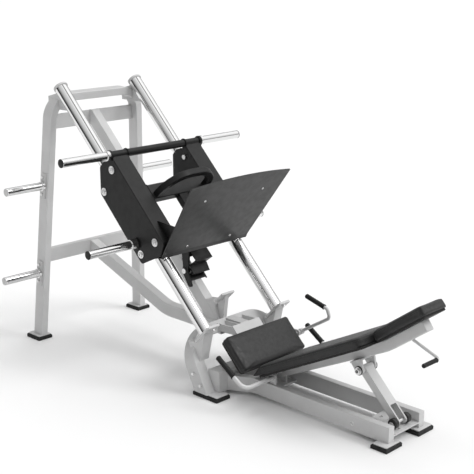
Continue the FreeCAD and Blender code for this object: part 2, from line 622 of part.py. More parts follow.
def guide_rollers():
    """Grooved rollers: the groove is a ring cut to the guide tube's round, with running clearance."""
    half_width = 18.0
    groove = Part.makeTorus(ROLLER_OFFSET, RAIL_R + TUBE_GAP, Vector(RAIL_X, 0, 0), Vector(1, 0, 0))
    blank = rod_x(RAIL_X - half_width, RAIL_X + half_width, 0, 0, 41.3)
    wheel = blank.cut(groove).cut(rod_x(200, 400, 0, 0, 10 + TUBE_GAP))
    for name, (up_slope, sign) in ROLLER_PLACES.items():
        placed = wheel.copy()
        placed.translate(Vector(0, up_slope, sign * ROLLER_OFFSET))
        shapes["guide_rollers_" + name] = put(both_sides(placed), RAIL)


def weight_pegs():
    pegs = []
    collars = []
    for (up_slope, above), collar_r, collar_end, ring_end in ((UPPER_TUBE, 31, 365, 384), (LOWER_PEG, 34, 362, 399)):
        ring = rod_x(collar_end, ring_end, up_slope, above, 30)
        peg = rod_x(collar_end, PEG_END, up_slope, above, PEG_R)
        peg = peg.makeFillet(4, [e for e in peg.Edges if e.BoundBox.XMin > PEG_END - 1 and e.BoundBox.XLength < 1])
        pegs += both_sides(fuse([ring, peg])).Solids
        collars += both_sides(rod_x(SIDE_OUTER, collar_end, up_slope, above, collar_r)).Solids
    shapes["weight_pegs"] = put(Part.makeCompound(pegs), RAIL)
    shapes["peg_collars"] = put(Part.makeCompound(collars), RAIL)


def foot_plate():
    """A sheet whose lower edge is folded, with a gently arched top edge."""
    plate = frame(Vector(0, PLATE_FOOT[0], PLATE_FOOT[1]), -PLATE_TILT)
    thick = 6.0
    bottom = 345.0
    top = 398.0
    crest = Vector(0, 0, 551)
    edges = rounded_edges([Vector(-top, 0, 524), Vector(-bottom, 0, 0), Vector(bottom, 0, 0),
                           Vector(top, 0, 524)], [0, 0, 0, 0], False)
    edges.append(Part.Arc(Vector(top, 0, 524), crest, Vector(-top, 0, 524)).toShape())
    sheet = Part.Face(Part.Wire(edges)).extrude(Vector(0, thick, 0))
    corners = [e for e in sheet.Edges if abs(e.Length - thick) < 0.1 and e.BoundBox.ZMin > 400]
    sheet = sheet.makeFillet(5, corners)
    lip = prism([(0, 0), (thick, 0), (thick - 4, -28), (-4, -28)], "x", -bottom, bottom)
    sheet = fuse([sheet, lip])
    shapes["foot_plate"] = put(put(sheet, plate), RAIL)
    supports = []
    for side in (-1, 1):
        # A gusset runs from the side's front flange to the plate's back.
        gusset = prism([(60, FLANGE_N), (250, FLANGE_N), (236, 148), (70, 290)], "x",
                       side * 300 - 4, side * 300 + 4)
        behind = put(box((-500, 500), (thick, 500), (0, 600)), plate)
        supports.append(gusset.common(behind))
    # One brace runs down the middle from the carriage's crossbar.
    crossbar_front = 395
    brace = box((-32, 32), (20, crossbar_front), (88, 130))
    supports.append(brace.common(behind))
    shapes["foot_plate_supports"] = put(Part.makeCompound(supports), RAIL)


# ---------------------------------------------------------------- safety stop
def safety_stop():
    pivot = STOP_PIVOT
    reach = math.hypot(REST_BAR[0] - pivot[0], REST_BAR[1] - pivot[1]) - 15 - 0.5
    sweep = rod_x(-80, 80, pivot[0], pivot[1], reach)
    left_arm = prism([(-88, -150), (-72, -172), (30, -152), (46, -122), (130, -58), (90, 0), (0, -110)],
                     "x", -74, -62, [10, 10, 20, 20, 0, 0, 20])
    teeth = [(84, -16), (10, -15), (20, -80), (-36, -94), (-16, -145), (-57, -147)]
    right_arm = prism(teeth + [(0, -158), (36, -152), (130, -58)], "x", 62, 74)
    points, radii = ribbon([(86, -20), (14, -19), (24, -84), (-30, -97), (-12, -143), (-50, -144)], 7, 0)
    steps = prism(points, "x", -58, 62, radii)
    tie = prism([(66, -60), (78, -60), (92, -24), (80, -24)], "x", -62, 62)
    sleeves = [rod_x(side * 41, side * 62, pivot[0], pivot[1], 17) for side in (-1, 1)]
    parts = [piece.common(sweep) for piece in (left_arm, right_arm, steps, tie)] + sleeves
    body = fuse(parts)
    pin_r = 10.0
    body = body.cut(rod_x(-100, 100, pivot[0], pivot[1], pin_r))
    shapes["safety_stop"] = put(body, RAIL)
    pin = rod_x(-74, 74, pivot[0], pivot[1], pin_r)
    heads = [rod_x(side * 74, side * 82, pivot[0], pivot[1], 16) for side in (-1, 1)]
    shapes["safety_stop_pin"] = put(fuse([pin] + heads), RAIL)
    half = SPINE_WIDTH / 2
    lug = prism([(pivot[0] - 30, CENTRE_TOP_N - 50), (pivot[0] + 30, CENTRE_TOP_N - 50),
                 (pivot[0] + 20, pivot[1] + 20), (pivot[0] - 20, pivot[1] + 20)], "x", half, half + 10,
                [0, 0, 19, 19])
    lug = lug.cut(rod_x(0, 100, pivot[0], pivot[1], pin_r + TUBE_GAP))
    lugs = put(both_sides(lug), RAIL)
    shapes["centre_beam"] = fuse([shapes["centre_beam"]] + lugs.Solids)


# ---------------------------------------------------------------- storage pegs and bolts
def tower_face(height):
    """How far out the upright's outer face is, at a height along the tower."""
    return TOWER_FOOT_X - TOWER_SPLAY * height + TOWER_WIDTH / 2 * math.hypot(1, TOWER_SPLAY)


def storage_pegs():
    pegs = []
    plates = []
    for height, end in ((1015, 668), (445, 690)):
        face = tower_face(height)
        plate_high = 80
        plate = prism([(face + TOWER_SPLAY * plate_high, height - plate_high),
                       (face + TOWER_SPLAY * plate_high + 9, height - plate_high),
                       (face - TOWER_SPLAY * plate_high + 9, height + plate_high),
                       (face - TOWER_SPLAY * plate_high, height + plate_high)],
                      "y", TOWER_DEPTH / 2 - 23, TOWER_DEPTH / 2 + 23)
        start = face + 9 + TOWER_SPLAY * 25
        ring = rod_x(start, start + 12, TOWER_DEPTH / 2, height, 31)
        peg = rod_x(start, end, TOWER_DEPTH / 2, height, PEG_R)
        peg = peg.makeFillet(4, [e for e in peg.Edges if e.BoundBox.XMin > end - 1 and e.BoundBox.XLength < 1])
        outside = prism([(face + 9 + TOWER_SPLAY * 60, height - 60), (end + 9, height - 60),
                         (end + 9, height + 60), (face + 9 - TOWER_SPLAY * 60, height + 60)],
                        "y", -100, 200)
        whole = fuse([ring, peg, rod_x(face, start + 1, TOWER_DEPTH / 2, height, 31)])
        pegs += both_sides(whole.common(outside)).Solids
        plates += both_sides(plate).Solids
    shapes["storage_pegs"] = put(Part.makeCompound(pegs), TOWER)
    shapes["storage_brackets"] = put(Part.makeCompound(plates), TOWER)


def frame_bolts():
    """Hexagon bolt heads that stand on the frame's faces."""
    bolts = []

    def hexagon(across_flats, height):
        radius = across_flats / math.sqrt(3)
        corners = [(radius * math.cos(math.radians(60 * i)), radius * math.sin(math.radians(60 * i)))
                   for i in range(6)]
        washer = Part.makeCylinder(across_flats * 0.62, 2)
        return prism(corners, "z", 2, height).fuse(washer)

    outward = FreeCAD.Rotation(Vector(0, 0, 1), Vector(1, 0, 0))
    for y, z in ((1227, 128), (1169, 70)):
        bolts += both_sides(put(hexagon(18, 12), FreeCAD.Placement(Vector(ARCH_HALF, y, z), outward))).Solids
    for height in (1015, 445):
        for step in (-55, 55):
            level = height + step
            face = tower_face(level) + 9
            tilt = FreeCAD.Rotation(Vector(0, 0, 1), Vector(1, 0, TOWER_SPLAY))
            spot = FreeCAD.Placement(Vector(face, TOWER_DEPTH / 2, level), tilt)
            bolts += both_sides(put(put(hexagon(16, 11), spot), TOWER)).Solids
    down = FreeCAD.Rotation(Vector(0, 0, 1), Vector(0, -1, 0))
    spot = FreeCAD.Placement(Vector(RAIL_X, RAIL_START - 14, 56), down)
    bolts += both_sides(put(put(hexagon(18, 12), spot), RAIL)).Solids
    up = FreeCAD.Rotation(Vector(0, 0, 1), Vector(0, 1, 0))
    spot = FreeCAD.Placement(Vector(RAIL_X, RAIL_END + 12, 0), up)
    bolts += both_sides(put(put(hexagon(24, 14), spot), RAIL)).Solids
    shapes["frame_bolts"] = Part.makeCompound(bolts)


# ---------------------------------------------------------------- build and write
tower_solid = rear_tower()
shapes["upper_crossbar"] = crossbar(UPPER_BAR_Z, (UPPER_BAR_Y, UPPER_BAR_Y + 30), tower_solid)
shapes["lower_crossbar"] = crossbar(LOWER_BAR_Z, (LOWER_BAR_Y, LOWER_BAR_Y + 35), tower_solid)
arch_solid = middle_arch()
base()
feet()
spine_and_centre(arch_solid)
guide_tubes(tower_solid, arch_solid)
seat(arch_solid)
seat_grips()
release_lever(arch_solid)
backrest()
strut()
carriage_sides()
carriage_bars()
roller_axles()
guide_rollers()
weight_pegs()
foot_plate()
safety_stop()
storage_pegs()
frame_bolts()

os.makedirs("parts", exist_ok=True)
total = FreeCAD.BoundBox()
for node, shape in shapes.items():
    placed = shape.copy()
    placed.translate(Vector(0, -MIDDLE_Y, 0))
    placed.exportStep("parts/" + node + ".step")
    total.add(placed.BoundBox)
print(len(shapes), "nodes, box", total)
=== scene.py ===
import json
import math

import bmesh
import bpy
from mathutils import Matrix, Vector
from mathutils.bvhtree import BVHTree


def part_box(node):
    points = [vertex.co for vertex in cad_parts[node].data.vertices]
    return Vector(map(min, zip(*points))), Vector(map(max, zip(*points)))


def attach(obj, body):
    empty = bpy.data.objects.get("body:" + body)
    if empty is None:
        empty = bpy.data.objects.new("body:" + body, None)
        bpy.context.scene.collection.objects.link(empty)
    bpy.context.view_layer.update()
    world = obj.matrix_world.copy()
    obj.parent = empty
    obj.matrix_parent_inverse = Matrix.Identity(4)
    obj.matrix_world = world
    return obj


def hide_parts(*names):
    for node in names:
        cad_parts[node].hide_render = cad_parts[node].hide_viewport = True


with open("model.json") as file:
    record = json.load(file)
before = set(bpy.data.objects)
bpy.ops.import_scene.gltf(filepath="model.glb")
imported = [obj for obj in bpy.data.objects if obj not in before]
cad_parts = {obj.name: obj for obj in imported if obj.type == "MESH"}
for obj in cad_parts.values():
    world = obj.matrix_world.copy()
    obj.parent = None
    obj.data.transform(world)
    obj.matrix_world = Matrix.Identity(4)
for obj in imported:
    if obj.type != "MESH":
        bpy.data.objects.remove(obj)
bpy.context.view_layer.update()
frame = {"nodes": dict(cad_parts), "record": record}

# Leg press machine: materials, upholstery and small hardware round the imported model. Metres.
# +X is the user's right, +Y goes from the backrest's head end to the weight tower, Z is up.


# ---------------------------------------------------------------- places on the machine
MIDDLE_Y = 1.27125              # the model's origin, measured from the front edge of the front feet
FOOT_TOP = 0.024
PEG_R = 0.025
BOARD = 0.012                   # thickness of the backrest's boards
PAD_THICK = 0.050
BACK_BEND = -0.5577             # where the head part starts, along the backrest
HEAD_BEND = math.radians(10.3)
BACK_TAPER = math.atan(0.022)   # the boards slope this much against the backrest beam
BACK_ENDS = (-0.545, 0.236)     # the long pad's ends, along the backrest
SEAT_MIDDLE = -0.6295           # the seat's place along the guide tubes, and its size
SEAT_HALF = (0.260, 0.1145)
HEAD_ENDS = (0.004, 0.368)      # the head pad's ends, along the head part
STRUT_PIVOT = (0, 0.297 - MIDDLE_Y, 0.321)
PEG_PLACES = ((0.737, 0.129), (0.238, -0.065))      # along and above the guide tubes
STORAGE_PLACES = ((1.015, 0.668), (0.445, 0.690))   # height on the tower, end of the peg
SHARP_FROM = 38                 # edges that turn by more degrees than this stay sharp


def placed(origin, slope, parent=None):
    """A frame whose y runs up a slope towards +Y and whose z is square to it."""
    here = Matrix.Translation(Vector(origin)) @ Matrix.Rotation(slope, 4, "X")
    return here if parent is None else parent @ here


RAIL = placed((0, 1.5 - MIDDLE_Y, 0.670), math.radians(45))
BACK = placed((0, 0.640 - MIDDLE_Y, 0.219), math.radians(-25.7))
HEAD = placed((0, BACK_BEND, 0), -HEAD_BEND, BACK)
PLATE = placed((0, 0.059, 0.076), math.radians(-10.5), RAIL)
TOWER = placed((0, 2.579 - MIDDLE_Y, 0), math.atan(0.0725))


# ---------------------------------------------------------------- materials
class Finish:
    """A procedural material, patterned in metres on the piece itself."""

    def __init__(self, name):
        self.material = bpy.data.materials.new(name)
        self.material.use_nodes = True
        self.tree = self.material.node_tree
        self.surface = self.tree.nodes["Principled BSDF"]
        self.place = self.add("ShaderNodeTexCoord").outputs["Object"]
        self.normal = None

    def add(self, kind, **settings):
        made = self.tree.nodes.new(kind)
        for name, value in settings.items():
            setattr(made, name, value)
        return made

    def feed(self, socket, value):
        if isinstance(value, bpy.types.NodeSocket):
            self.tree.links.new(value, socket)
        else:
            socket.default_value = value

    def set(self, **values):
        for name, value in values.items():
            self.feed(self.surface.inputs[name.replace("_", " ")], value)

    def stretched(self, stretch):
        mapping = self.add("ShaderNodeMapping")
        self.feed(mapping.inputs["Vector"], self.place)
        mapping.inputs["Scale"].default_value = stretch
        return mapping.outputs["Vector"]

    def noise(self, scale, detail=2.0, stretch=(1, 1, 1)):
        texture = self.add("ShaderNodeTexNoise")
        self.feed(texture.inputs["Vector"], self.stretched(stretch))
        texture.inputs["Scale"].default_value = scale
        texture.inputs["Detail"].default_value = detail
        return texture.outputs["Fac"]

    def cells(self, scale, feature="F1"):
        texture = self.add("ShaderNodeTexVoronoi", feature=feature)
        self.feed(texture.inputs["Vector"], self.place)
        texture.inputs["Scale"].default_value = scale
        return texture.outputs["Distance"]

    def spread(self, value, low, high, start=0.35, end=0.65):
        """Takes start..end of a pattern to low..high."""
        ranged = self.add("ShaderNodeMapRange")
        self.feed(ranged.inputs["Value"], value)
        for name, number in (("From Min", start), ("From Max", end), ("To Min", low), ("To Max", high)):
            ranged.inputs[name].default_value = number
        return ranged.outputs["Result"]

    def math(self, operation, first, second):
        made = self.add("ShaderNodeMath", operation=operation)
        self.feed(made.inputs[0], first)
        self.feed(made.inputs[1], second)
        return made.outputs[0]

    def mix(self, amount, first, second):
        made = self.add("ShaderNodeMix", data_type="RGBA")
        self.feed(made.inputs["Factor"], amount)
        colours = [socket for socket in made.inputs if socket.type == "RGBA"]
        self.feed(colours[0], first)
        self.feed(colours[1], second)
        return [socket for socket in made.outputs if socket.type == "RGBA"][0]

    def soften(self, radius):
        """Rounds every edge by a radius, and returns a mask of the edges."""
        bevel = self.add("ShaderNodeBevel", samples=4)
        bevel.inputs["Radius"].default_value = radius
        self.normal = bevel.outputs["Normal"]
        faces = self.add("ShaderNodeNewGeometry")
        alike = self.add("ShaderNodeVectorMath", operation="DOT_PRODUCT")
        self.feed(alike.inputs[0], bevel.outputs["Normal"])
        self.feed(alike.inputs[1], faces.outputs["Normal"])
        return self.spread(alike.outputs["Value"], 1.0, 0.0, 0.80, 0.995)

    def raise_by(self, height, depth, strength=1.0):
        bump = self.add("ShaderNodeBump")
        bump.inputs["Distance"].default_value = depth
        bump.inputs["Strength"].default_value = strength
        self.feed(bump.inputs["Height"], height)
        if self.normal is not None:
            self.feed(bump.inputs["Normal"], self.normal)
        self.normal = bump.outputs["Normal"]

    def done(self):
        if self.normal is not None:
            self.feed(self.surface.inputs["Normal"], self.normal)
        return self.material


def grey(level, warmth=0.0):
    return (level * (1 + warmth), level, level * (1 - warmth), 1.0)


def powder_coat(name, level, edge_level, roughness, peel, grain_depth, gloss):
    """Baked powder coat: a fine orange peel, slight unevenness, rubbed edges."""
    made = Finish(name)
    edges = made.soften(0.0016)
    cloudy = made.spread(made.noise(7.0, 4.0), 0.0, 1.0)
    base = made.mix(cloudy, grey(level * 0.96), grey(level * 1.03))
    patchy = made.spread(made.noise(60.0, 5.0), 0.0, 0.45, 0.46, 0.62)
    base = made.mix(made.math("MULTIPLY", edges, patchy), base, grey(edge_level))
    made.set(Base_Color=base, Specular_IOR_Level=gloss, Coat_Weight=gloss * 0.2, Coat_Roughness=0.25)
    made.set(Roughness=made.spread(made.noise(25.0, 3.0), roughness - 0.05, roughness + 0.06))
    made.raise_by(made.noise(peel, 3.0), grain_depth, 0.5)
    return made.done()


def plated(name, level, roughness, scratch_stretch, scratch_depth):
    """Bright or dull plating, with fine rubbing marks along one direction."""
    made = Finish(name)
    made.soften(0.0008)
    marks = made.noise(90.0, 6.0, scratch_stretch)
    smears = made.noise(9.0, 4.0)
    made.set(Metallic=1.0, Base_Color=made.mix(smears, grey(level * 0.95), grey(level)))
    made.set(Roughness=made.spread(smears, roughness * 0.8, roughness * 1.5))
    made.raise_by(marks, scratch_depth, 0.3)
    return made.done()


def vinyl(name):
    """Upholstery vinyl: pebbled leather grain with a faint mottling and a soft sheen."""
    made = Finish(name)
    warp = made.noise(35.0, 4.0)
    made.set(Base_Color=made.mix(made.spread(warp, 0.0, 1.0), grey(0.0135), grey(0.0165)))
    pebbles = made.spread(made.cells(520.0), 1.0, 0.0, 0.0, 0.75)
    creases = made.spread(made.cells(190.0, "DISTANCE_TO_EDGE"), 0.0, 1.0, 0.0, 0.12)
    made.set(Roughness=made.spread(made.noise(60.0, 3.0), 0.42, 0.56))
    made.set(Sheen_Weight=0.08, Sheen_Roughness=0.5, Specular_IOR_Level=0.38)
    made.raise_by(pebbles, 0.00020, 0.55)
    made.raise_by(creases, 0.00015, 0.35)
    return made.done()


def moulded(name, level, roughness, grain_scale, grain_depth):
    """Moulded rubber or plastic with a fine etched grain and a dusty bloom."""
    made = Finish(name)
    made.soften(0.0010)
    bloom = made.spread(made.noise(14.0, 5.0), 0.0, 1.0)
    made.set(Base_Color=made.mix(bloom, grey(level * 0.85), grey(level * 1.25, 0.01)))
    made.set(Roughness=made.spread(made.noise(40.0, 3.0), roughness - 0.06, roughness + 0.06))
    made.set(Specular_IOR_Level=0.3)
    made.raise_by(made.noise(grain_scale, 3.0), grain_depth, 0.6)
    return made.done()


def painted_board(name):
    """Black stained board: the grain shows as long faint streaks."""
    made = Finish(name)
    made.soften(0.0012)
    streaks = made.noise(45.0, 6.0, (1.0, 0.06, 0.6))
    made.set(Base_Color=made.mix(made.spread(streaks, 0.0, 1.0), grey(0.012), grey(0.022, 0.03)))
    made.set(Roughness=made.spread(streaks, 0.55, 0.7), Specular_IOR_Level=0.3)
    made.raise_by(streaks, 0.00030, 0.4)
    return made.done()


FINISHES = {
    "frame_paint": powder_coat("frame_paint", 0.60, 0.50, 0.40, 420.0, 0.00012, 0.5),
    "black_paint": powder_coat("black_paint", 0.008, 0.03, 0.46, 700.0, 0.00016, 0.25),
    "plate_paint": powder_coat("plate_paint", 0.014, 0.05, 0.36, 900.0, 0.00006, 0.35),
    "chrome": plated("chrome", 0.80, 0.07, (1.0, 0.05, 0.05), 0.00002),
    "zinc": plated("zinc", 0.74, 0.26, (1.0, 1.0, 1.0), 0.00004),
    "upholstery": vinyl("upholstery"),
    "black_board": painted_board("black_board"),
    "black_rubber": moulded("black_rubber", 0.009, 0.55, 600.0, 0.00018),
    "nylon": moulded("nylon", 0.025, 0.42, 300.0, 0.00008),
}


def finish_nodes():
    for entry in frame["record"]["subparts"]:
        mesh = frame["nodes"][entry["node"]].data
        mesh.materials.clear()
        mesh.materials.append(FINISHES[entry["material_slot"]])


# ---------------------------------------------------------------- making pieces
def piece(name, shape, body, slot):
    """Turns a bmesh that is already in place into a piece that rides on a body."""
    bmesh.ops.recalc_face_normals(shape, faces=shape.faces)
    mesh = bpy.data.meshes.new(name)
    shape.to_mesh(mesh)
    shape.free()
    made = bpy.data.objects.new(name, mesh)
    bpy.context.scene.collection.objects.link(made)
    mesh.materials.append(FINISHES[slot])
    mesh.shade_smooth()
    mesh.set_sharp_from_angle(angle=math.radians(SHARP_FROM))
    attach(made, body)
    return made


def add_rings(shape, rings, closed_ends=True):
    """Joins rings of the same number of points into a skin, with flat ends."""
    made = [[shape.verts.new(point) for point in ring] for ring in rings]
    for low, high in zip(made, made[1:]):
        for i in range(len(low)):
            j = (i + 1) % len(low)
            shape.faces.new((low[i], low[j], high[j], high[i]))
    if closed_ends:
        shape.faces.new(made[0][::-1])
        shape.faces.new(made[-1])


def add_turned(shape, profile, place, segments=32):
    """A turned form about the local z axis. The profile holds (z, radius) pairs."""
    rings = []
    for z, radius in profile:
        ring = []
        for i in range(segments):
            angle = 2 * math.pi * i / segments
            ring.append(place @ Vector((radius * math.cos(angle), radius * math.sin(angle), z)))
        rings.append(ring)
    add_rings(shape, rings)


def add_slab(shape, half_x, half_y, low, high, corner, edge, place):
    """A plate with round corners and softened edges, centred on the local z axis."""
    rings = []
    for z, inset in ((low, edge), (low + edge * 0.3, edge * 0.3), (low + edge, 0.0), (high - edge, 0.0),
                     (high - edge * 0.3, edge * 0.3), (high, edge)):
        outline = rounded_outline(half_x - inset, half_y - inset, corner - inset, 5)
        rings.append([place @ Vector((x, y, z)) for x, y in outline])
    add_rings(shape, rings)


def rounded_outline(half_x, half_y, corner, steps):
    """Points round a rectangle with round corners, counter-clockwise."""
    points = []
    for turn, (side_x, side_y) in enumerate(((1, 1), (-1, 1), (-1, -1), (1, -1))):
        centre = (side_x * (half_x - corner), side_y * (half_y - corner))
        for i in range(steps + 1):
            angle = math.pi / 2 * (turn + i / steps)
            points.append((centre[0] + corner * math.cos(angle), centre[1] + corner * math.sin(angle)))
    return points


def add_tube(shape, points, radius, sides=10, closed=True, ripple=0.0, waves=1.0):
    """A round bead along points. A ripple makes its thickness rise and fall, as a weld's does."""
    count = len(points)
    rings = []
    for i, point in enumerate(points):
        before = points[i - 1] if closed or i > 0 else point
        after = points[(i + 1) % count] if closed or i < count - 1 else point
        along = (after - before).normalized()
        side = along.cross(Vector((0.13, 0.29, 0.95))).normalized()
        up = side.cross(along)
        size = radius * (1 + ripple * math.sin(waves * i))
        ring = []
        for k in range(sides):
            angle = 2 * math.pi * k / sides
            ring.append(point + side * size * math.cos(angle) + up * size * math.sin(angle))
        rings.append(ring)
    if closed:
        rings.append(rings[0])
    add_rings(shape, rings, closed_ends=not closed)
    if closed:
        bmesh.ops.remove_doubles(shape, verts=shape.verts, dist=1e-6)


def looking(origin, direction):
    """A frame whose z axis points along a direction."""
    turned = Vector(direction).to_track_quat("Z", "Y").to_matrix().to_4x4()
    return Matrix.Translation(Vector(origin)) @ turned


# ---------------------------------------------------------------- upholstery
def pad_form(half_x, half_y, thick, corner, crown):
    """The sewn cover before it is stuffed, with a rounded top edge and a low crown."""
    shape = bmesh.new()
    fillet = 0.006
    rings = []
    levels = [(0.0, 0.004), (0.002, 0.001), (thick * 0.35, 0.0)]
    for i in range(5):
        angle = math.pi / 2 * i / 4
        levels.append((thick - fillet + fillet * math.sin(angle), fillet * (1 - math.cos(angle))))
    for z, inset in levels:
        ring = []
        for x, y in rounded_outline(half_x - inset, half_y - inset, corner - inset, 8):
            ring.append(Vector((x, y, z)))
        rings.append(ring)
    rim = rings[-1]
    for share in (0.97, 0.90, 0.76, 0.5, 0.25):
        ring = []
        for point in rim:
            lift = crown * (1 - share ** 3)
            ring.append(Vector((point.x * share, point.y * share, thick + lift)))
        rings.append(ring)
    add_rings(shape, rings)
    return shape


def remeshed(shape, name, voxel):
    mesh = bpy.data.meshes.new(name)
    shape.to_mesh(mesh)
    shape.free()
    made = bpy.data.objects.new(name, mesh)
    bpy.context.scene.collection.objects.link(made)
    remesh = made.modifiers.new("voxels", "REMESH")
    remesh.mode = "VOXEL"
    remesh.voxel_size = voxel
    return baked(made)


def baked(made):
    """Replaces a piece's mesh by what its modifiers make of it."""
    bpy.context.view_layer.update()
    graph = bpy.context.evaluated_depsgraph_get()
    mesh = bpy.data.meshes.new_from_object(made.evaluated_get(graph))
    made.modifiers.clear()
    made.data = mesh
    return made


def inflate(made, cap, base):
    """Fills the cover by a short cloth simulation, its underside held flat on the board."""
    start = [vertex.co.copy() for vertex in made.data.vertices]
    pins = made.vertex_groups.new(name="base")
    pins.add([i for i, co in enumerate(start) if co.z < base], 1.0, "REPLACE")
    cloth = made.modifiers.new("cloth", "CLOTH")
    cloth.settings.quality = 4
    cloth.settings.use_pressure = True
    cloth.settings.uniform_pressure_force = 4.0
    cloth.settings.vertex_group_mass = "base"
    cloth.settings.effector_weights.gravity = 0.0
    scene = bpy.context.scene
    for step in range(1, 21):
        scene.frame_set(step)
    graph = bpy.context.evaluated_depsgraph_get()
    settled = [vertex.co.copy() for vertex in made.evaluated_get(graph).data.vertices]
    made.modifiers.clear()
    scene.frame_set(1)
    for vertex, before, after in zip(made.data.vertices, start, settled):
        move = after - before
        if move.length > cap:
            move = move * (cap / move.length)
        vertex.co = before + move
        vertex.co.z = max(vertex.co.z, 0.0)
    made.vertex_groups.clear()


def smoothed(made, rounds):
    smooth = made.modifiers.new("smooth", "SMOOTH")
    smooth.factor = 0.5
    smooth.iterations = rounds
    finer = made.modifiers.new("finer", "SUBSURF")
    finer.levels = 1
    finer.render_levels = 1
    return baked(made)


def sewn_groove(made, level, width, depth):
    """Draws the cover in along a seam that runs round the side at one level."""
    for vertex in made.data.vertices:
        away = abs(vertex.co.z - level) / width
        if away < 1 and abs(vertex.normal.z) < 0.8:
            vertex.co -= vertex.normal * depth * (1 - away ** 2) ** 2


def seam_line(made, half_x, half_y, corner, level, inset):
    """Points on the cover along a seam."""
    tree = BVHTree.FromPolygons([vertex.co for vertex in made.data.vertices],
                                [polygon.vertices for polygon in made.data.polygons])
    points = []
    outline = rounded_outline(half_x, half_y, corner, 10)
    dense = []
    for i, (x, y) in enumerate(outline):
        following = outline[(i + 1) % len(outline)]
        run = math.dist((x, y), following)
        pieces = max(1, round(run / 0.012))
        for k in range(pieces):
            share = k / pieces
            dense.append((x + (following[0] - x) * share, y + (following[1] - y) * share))
    for x, y in dense:
        spot, normal, _, _ = tree.find_nearest(Vector((x, y, level)))
        points.append(spot - normal * inset)
    return points


def sloped(points, half_y, thick, nose):
    """Slants a pad's far end, so that its underside runs on further than its top."""
    if nose == 0:
        return
    lift = 0.005
    for point in points:
        reach = min(max((point.y - half_y + 0.070) / 0.060, 0.0), 1.0)
        share = nose * reach * (1 - point.z / thick)
        point.z += lift * (share / nose)
        point.y += share


def cushion(name, place, half_x, half_y, corner, body, node, nose=0.0):
    margin = 0.002
    crown = 0.003
    cap = 0.004
    voxel = 0.0055
    thick = PAD_THICK - 0.002
    shape = pad_form(half_x - margin, half_y - margin, thick, corner - margin, crown)
    made = remeshed(shape, name, voxel)
    inflate(made, cap, 0.004)
    made = smoothed(made, 2)
    level = thick * 0.80
    sewn_groove(made, level, 0.005, 0.0012)
    line = seam_line(made, half_x, half_y, corner, level, 0.0004)
    sloped([vertex.co for vertex in made.data.vertices], half_y, thick, nose)
    sloped(line, half_y, thick, nose)
    made.data.materials.clear()
    made.data.materials.append(FINISHES["upholstery"])
    made.data.shade_smooth()
    made.data.transform(place)
    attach(made, body)
    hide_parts(node)
    piping = bmesh.new()
    add_tube(piping, [place @ point for point in line], 0.0016, 8)
    piece(name + "_piping", piping, body, "upholstery")
    return made


def upholstery():
    cushion("seat_cushion", placed((0, SEAT_MIDDLE, 0.028), 0.0, RAIL), *SEAT_HALF, 0.022, "frame", "seat_pad")
    low, high = BACK_ENDS
    middle = (low + high) / 2
    base = 0.060 - (middle + 0.540) * math.tan(BACK_TAPER) + BOARD
    cushion("back_cushion", placed((0, middle, base), -BACK_TAPER, BACK), 0.210, (high - low) / 2,
            0.045, "backrest", "backrest_pad", 0.080)
    start, end = HEAD_ENDS
    cushion("head_cushion", placed((0, -(start + end) / 2, 0.060 + BOARD), 0.0, HEAD), 0.103,
            (end - start) / 2, 0.020, "backrest", "backrest_pad")


# ---------------------------------------------------------------- rubber grips and caps
def grip_profile(length, radius, ribs):
    """A slip-on grip: a flange, shallow ribs and a domed end."""
    profile = [(0.0, radius * 0.80), (0.0004, radius * 1.10), (0.0030, radius * 1.12), (0.0045, radius)]
    first, last = 0.010, length - 0.014
    step = (last - first) / ribs
    for i in range(ribs):
        z = first + i * step
        profile += [(z, radius), (z + step * 0.25, radius - 0.0007), (z + step * 0.5, radius - 0.0007),
                    (z + step * 0.75, radius)]
    for i in range(6):
        angle = math.pi / 2 * i / 6
        profile.append((length - radius * 0.7 * (1 - math.sin(angle)), radius * math.cos(angle)))
    profile.append((length, radius * 0.08))
    return profile


def grips():
    for side, name in ((-1, "left"), (1, "right")):
        low = Vector((side * 0.372, 0.902 - MIDDLE_Y, 0.202))
        top = Vector((side * 0.372, 1.029 - MIDDLE_Y, 0.286))
        shape = bmesh.new()
        add_turned(shape, grip_profile((top - low).length, 0.0155, 16), looking(low, top - low))
        made = piece("seat_grip_sleeve_" + name, shape, "frame", "black_rubber")
        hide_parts("seat_grips")
    low = Vector((0.325, 0.832 - MIDDLE_Y, 0.438))
    top = Vector((0.325, 0.992 - MIDDLE_Y, 0.481))
    along = (top - low).normalized()
    low = low + along * 0.022
    top = top + along * 0.004
    shape = bmesh.new()
    add_turned(shape, grip_profile((top - low).length, 0.0145, 16), looking(low, along))
    made = piece("lever_grip_sleeve", shape, "lever", "black_rubber")
    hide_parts("release_lever_grip")
    low = Vector((-0.022, -0.144 - MIDDLE_Y, 0.491))
    shape = bmesh.new()
    add_turned(shape, grip_profile(0.116, 0.0115, 12), looking(low, (-1, 0, 0)))
    made = piece("lifting_grip_sleeve", shape, "backrest", "black_rubber")
    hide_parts("lifting_grip")


def cap_profile(radius, dome):
    """A pressed-in end cap with a lip and a low dome."""
    return [(-0.0010, radius * 0.9), (-0.0010, radius * 1.01), (0.0006, radius * 1.03), (0.0022, radius * 0.99),
            (0.0030, radius * 0.90), (0.0032, radius * 0.70), (0.0032 + dome * 0.6, radius * 0.42),
            (0.0032 + dome, radius * 0.10)]


def peg_caps():
    shape = bmesh.new()
    peg_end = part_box("weight_pegs")[1].x
    for up_slope, above in PEG_PLACES:
        for side in (-1, 1):
            spot = RAIL @ Vector((side * peg_end, up_slope, above))
            add_turned(shape, cap_profile(PEG_R, 0.001), looking(spot, (side, 0, 0)))
    piece("weight_peg_caps", shape, "carriage", "black_rubber")


